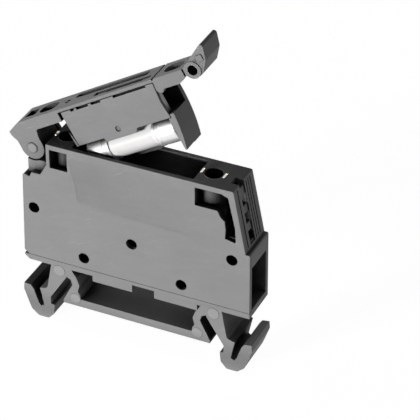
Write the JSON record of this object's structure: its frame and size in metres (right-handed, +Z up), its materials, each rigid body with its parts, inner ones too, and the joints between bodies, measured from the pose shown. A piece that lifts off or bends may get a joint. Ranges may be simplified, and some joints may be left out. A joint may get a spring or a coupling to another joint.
{
  "type": "fuse terminal block",
  "caption": "Slim rail-mounted fuse terminal block with a hinged fuse lever swung part open, screw clamps at both ends and a clip-on rail foot.",
  "frame": {"origin": "middle of the plane that rests on the rail's two flanges", "axes": "+X along the current path towards the lever's free end, +Y through the block's thickness away from its cover, +Z up from the rail"},
  "size_m": [0.0489, 0.0098, 0.0658],
  "materials": {
    "housing_plastic": "fine matt moulded grey",
    "lever_plastic": "fine matt moulded grey",
    "ceramic": "glazed white ceramic",
    "cap_metal": "bright nickel plate",
    "conductor_metal": "tinned copper alloy, satin",
    "steel": "zinc plated"
  },
  "bodies": {
    "base": {"housing": "housing_plastic", "side_cover": "housing_plastic", "clamp_bar_left": "conductor_metal", "clamp_bar_right": "conductor_metal", "contact_spring_left": "conductor_metal", "contact_spring_right": "conductor_metal", "contact_rivet_left": "steel", "contact_rivet_right": "steel"},
    "lever": {"fuse_lever": "lever_plastic", "lever_panel": "lever_plastic", "fuse_tube": "ceramic", "fuse_cap_left": "cap_metal", "fuse_cap_right": "cap_metal", "fuse_wire": "conductor_metal", "test_contact_left": "cap_metal", "test_contact_right": "cap_metal"},
    "screw_left": {"clamp_screw_left": "steel"},
    "screw_right": {"clamp_screw_right": "steel"},
    "cage_left": {"clamp_cage_left": "steel"},
    "cage_right": {"clamp_cage_right": "steel"}
  },
  "joints": [
    {"name": "lever_pivot", "type": "hinge", "parent": "base", "child": "lever", "pos_m": [-0.0206, 0, 0.0319], "axis": [0, -1, 0], "range_deg": [-30.5, 55]},
    {"name": "screw_left_turn", "type": "hinge", "parent": "base", "child": "screw_left", "pos_m": [-0.0149, 0, 0.022], "axis": [0, 0, -1], "range_deg": [0, 2170]},
    {"name": "screw_right_turn", "type": "hinge", "parent": "base", "child": "screw_right", "pos_m": [0.0138, 0, 0.022], "axis": [0, 0, -1], "range_deg": [0, 2170]},
    {"name": "cage_left_rise", "type": "slide", "parent": "base", "child": "cage_left", "axis": [0, 0, 1], "range_m": [0, 0.003]},
    {"name": "cage_right_rise", "type": "slide", "parent": "base", "child": "cage_right", "axis": [0, 0, 1], "range_m": [0, 0.003]}
  ],
  "couplings": [
    {"joint": "screw_left_turn", "follows": "cage_left_rise", "rad_per_m": 12566},
    {"joint": "screw_right_turn", "follows": "cage_right_rise", "rad_per_m": 12566}
  ]
}
